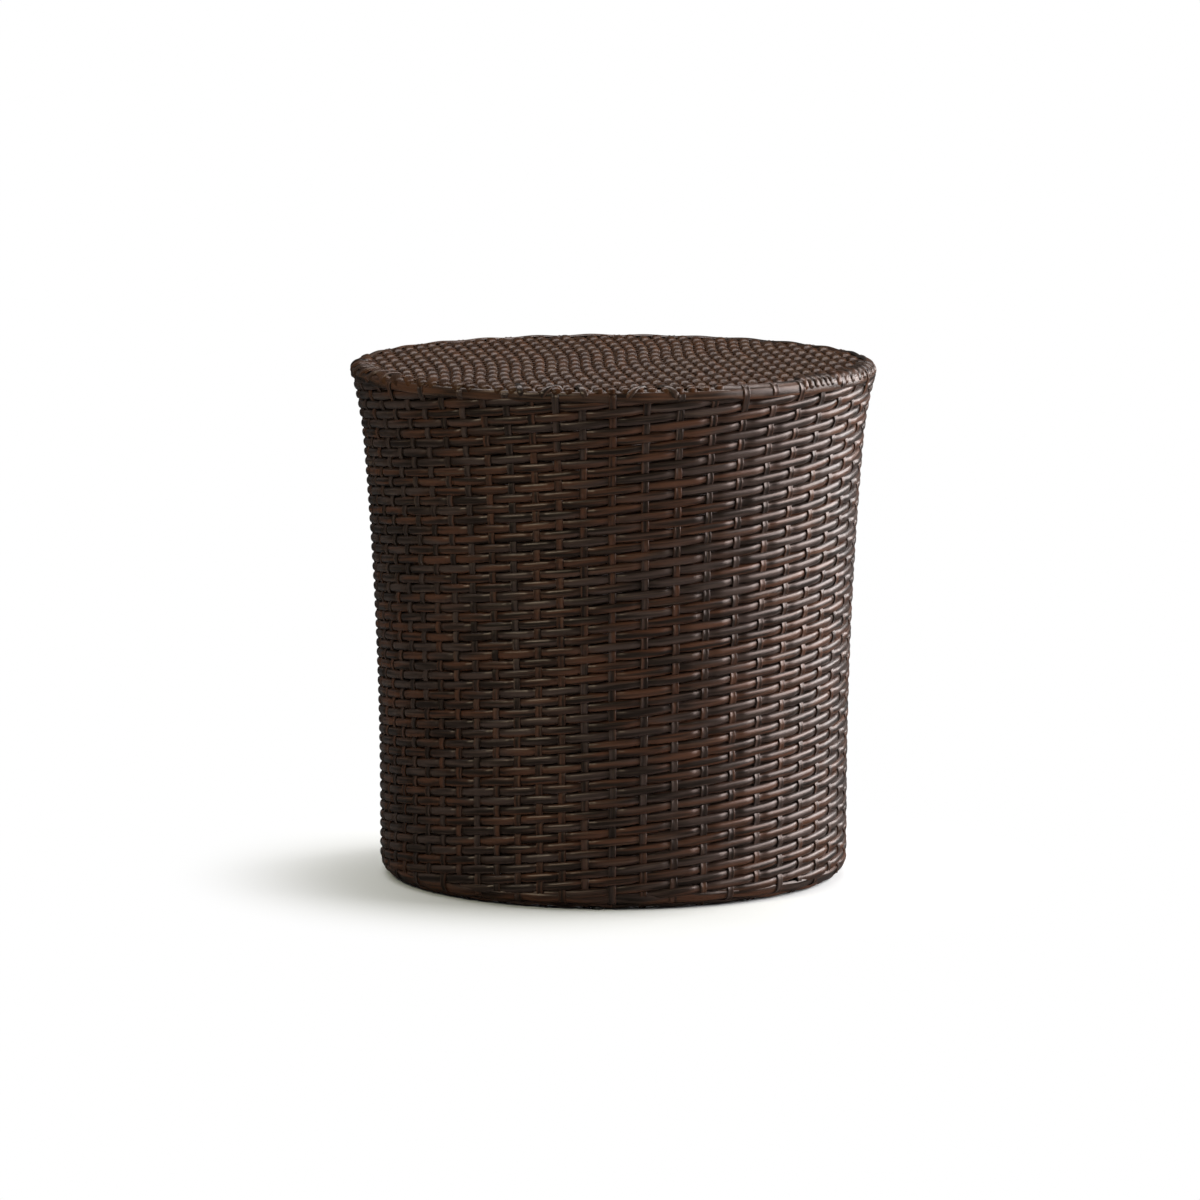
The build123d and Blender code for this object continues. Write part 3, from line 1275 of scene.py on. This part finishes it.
@dataclass
class Carcass:
    """The welded frame and the foot glides, whose CAD solids show as they are."""

    coat: CoatFinish = CoatFinish()
    glide: GlideFinish = GlideFinish()

    def dress(self) -> None:
        """Give each shown CAD node its finish."""
        finishes = {"frame_tube": self.coat.material(), "glide": self.glide.material()}
        for part in frame["record"]["subparts"]:
            finish = finishes.get(part["material_slot"])
            if finish:
                node = frame["nodes"][part["node"]]
                node.material_slots[0].material = finish
                log.info("%s: %s", node.name, finish.name)


def stand(name: str, data: bpy.types.ID, place: Triple, aim: Triple) -> bpy.types.Object:
    """Stand a lamp or a camera in the scene.

    Args:
        name: Its name.
        data: The lamp or the camera.
        place: Where it stands.
        aim: The point that it looks at.

    Returns:
        The object that holds it.
    """
    holder = bpy.data.objects.new(name, data)
    holder.location = place
    holder.rotation_euler = (Vector(aim) - Vector(place)).to_track_quat("-Z", "Y").to_euler()
    bpy.context.scene.collection.objects.link(holder)
    return holder


@dataclass(frozen=True)
class SoftBox:
    """A lamp behind a soft sheet, with its width and height in metres and its power in watts."""

    name: str
    place: Triple
    aim: Triple
    size: Pair
    power: float
    colour: Triple = (1.0, 1.0, 1.0)

    def add(self) -> None:
        """Add the lamp to the scene."""
        lamp = bpy.data.lights.new(self.name, "AREA")
        lamp.shape = "RECTANGLE"
        lamp.size, lamp.size_y = self.size
        lamp.energy = self.power
        lamp.color = self.colour
        stand(self.name, lamp, self.place, self.aim)


@dataclass
class Studio:
    """A plain pale floor, soft light and the camera."""

    lamps: tuple[SoftBox, ...] = (
        SoftBox("key_right", (2.0, 0.3, 1.0), (0.0, 0.0, 0.25), (2.8, 1.5), 118.0),
        SoftBox(
            "front_left", (-1.5, -1.5, 1.8), (0.0, 0.0, 0.25), (0.8, 0.5), 19.0, (1.0, 1.0, 0.76)
        ),
        SoftBox("overhead", (-0.2, 0.6, 2.3), (0.0, 0.0, 0.4), (2.8, 0.6), 40.0),
    )
    camera_place: Triple = (0.0, -6.4385, 1.1376)
    camera_aim: Triple = (-0.0119, 0.0, 0.2433)
    lens: float = 219.4
    far_clip: float = 100.0
    floor_half: float = 25.0
    floor_colour: Colour = (0.86, 0.86, 0.86, 1.0)
    floor_roughness: float = 0.9
    floor_gloss: float = 0.1
    fade: Pair = (0.22, 0.40)
    room_light: float = 0.13
    room_sheen: float = 0.07

    def build(self) -> None:
        """Make the floor, the light, the world and the camera."""
        self.make_floor()
        self.make_world()
        for lamp in self.lamps:
            lamp.add()
        self.make_camera()
        bpy.context.scene.view_settings.view_transform = "Standard"

    def make_floor(self) -> None:
        """Make a pale floor that turns white away from the table and keeps the table's shadow."""
        sheet = bmesh.new()
        bmesh.ops.create_grid(sheet, x_segments=2, y_segments=2, size=self.floor_half)
        mesh = bpy.data.meshes.new("floor")
        sheet.to_mesh(mesh)
        sheet.free()
        floor = bpy.data.objects.new("floor", mesh)
        bpy.context.scene.collection.objects.link(floor)
        material, graph, shader = new_material("pale_floor")
        seen, glossy = self.ray_kinds(graph)
        # For mirror rays the floor's colour is darkened almost to black: painted shade, so that the
        # table mirrors the floor as dimly as the room.
        dim = graph.mix((1 - self.room_sheen) * glossy, self.floor_colour, BLACK)
        graph.feed(shader.inputs["Base Color"], dim)
        graph.feed(shader.inputs["Roughness"], self.floor_roughness)
        graph.feed(shader.inputs["Specular IOR Level"], self.floor_gloss)
        place = graph.node("ShaderNodeTexCoord").outputs["Object"]
        far = graph.node("ShaderNodeVectorMath", {"operation": "LENGTH"}, {0: place})
        white = graph.node("ShaderNodeEmission", None, {"Color": WHITE, "Strength": 1.0})
        away = graph.level(graph.value(far.outputs["Value"]), *self.fade)
        sockets = {0: away * seen, 1: shader.outputs[0], 2: white.outputs[0]}
        mixed = graph.node("ShaderNodeMixShader", None, sockets)
        output = next(node for node in graph.tree.nodes if node.type == "OUTPUT_MATERIAL")
        graph.feed(output.inputs["Surface"], mixed.outputs[0])
        mesh.materials.append(material)

    def make_world(self) -> None:
        """Make a room that is seen as white, is mirrored dimly and lights the table softly."""
        world = bpy.data.worlds.new("white_room")
        world.use_nodes = True
        bpy.context.scene.world = world
        graph = Graph(world.node_tree)
        seen, glossy = self.ray_kinds(graph)
        light, sheen = self.room_light, self.room_sheen
        strength = light + (1 - light) * seen + (sheen - light) * glossy
        room = graph.node("ShaderNodeBackground", None, {"Color": WHITE, "Strength": strength})
        graph.node("ShaderNodeOutputWorld", None, {"Surface": room.outputs[0]})

    @staticmethod
    def ray_kinds(graph: Graph) -> tuple[Value, Value]:
        """Tell rays apart.

        Args:
            graph: The graph to add the nodes to.

        Returns:
            1 for a ray that sees the background, straight or through glass, and 1 for a ray that
            mirrors it.
        """
        path = graph.node("ShaderNodeLightPath")
        camera, glossy, through = (
            graph.value(path.outputs[f"Is {kind} Ray"])
            for kind in ("Camera", "Glossy", "Transmission")
        )
        return camera + through, glossy

    def make_camera(self) -> None:
        """Set up the camera at the viewing angle of the photograph."""
        camera = bpy.data.cameras.new("camera")
        camera.lens = self.lens
        camera.clip_end = self.far_clip
        holder = stand("camera", camera, self.camera_place, self.camera_aim)
        bpy.context.scene.camera = holder


def main() -> None:
    """Build and dress the table, then the studio round it."""
    logging.basicConfig(level=logging.INFO, format="%(name)s: %(message)s")
    rng = np.random.default_rng(SEED)
    drum = Drum()
    strand = StrandFinish().material()
    rim_strand = StrandFinish(
        "rim_strand",
        red_brown=(0.070, 0.030, 0.016, 1.0),
        grey_brown=(0.052, 0.030, 0.021, 1.0),
        roughness=0.25,
        gloss=0.42,
    ).material()
    # The top's copy of the strand finish: its browns are set for how the light falls on the top,
    # not for a different resin. They are darker and warmer than the side's, with a lighter darkest
    # brown, to offset the grey sheen that the top takes on at the low view. So the top's tone is
    # partly painted light and shade.
    top_strand = StrandFinish(
        "top_strand",
        red_brown=(0.060, 0.024, 0.010, 1.0),
        grey_brown=(0.054, 0.026, 0.013, 1.0),
        black_brown=(0.028, 0.012, 0.006, 1.0),
        tan=(0.090, 0.050, 0.030, 1.0),
        roughness=0.22,
        gloss=0.18,
    ).material()
    finishes = {"top_rim_wrap": rim_strand, "top_weave": top_strand, "top_stakes": top_strand}
    side = Weave(drum)
    top = TopWeave(drum)
    bundles = side.weavers(rng) + side.bands(rng) + side.stakes(rng)
    bundles += top.weavers(rng) + [top.stakes()]
    for bundle in bundles:
        bundle.build(finishes.get(bundle.node, strand))
    Carcass().dress()
    Studio().build()


if __name__ == "__main__":
    main()
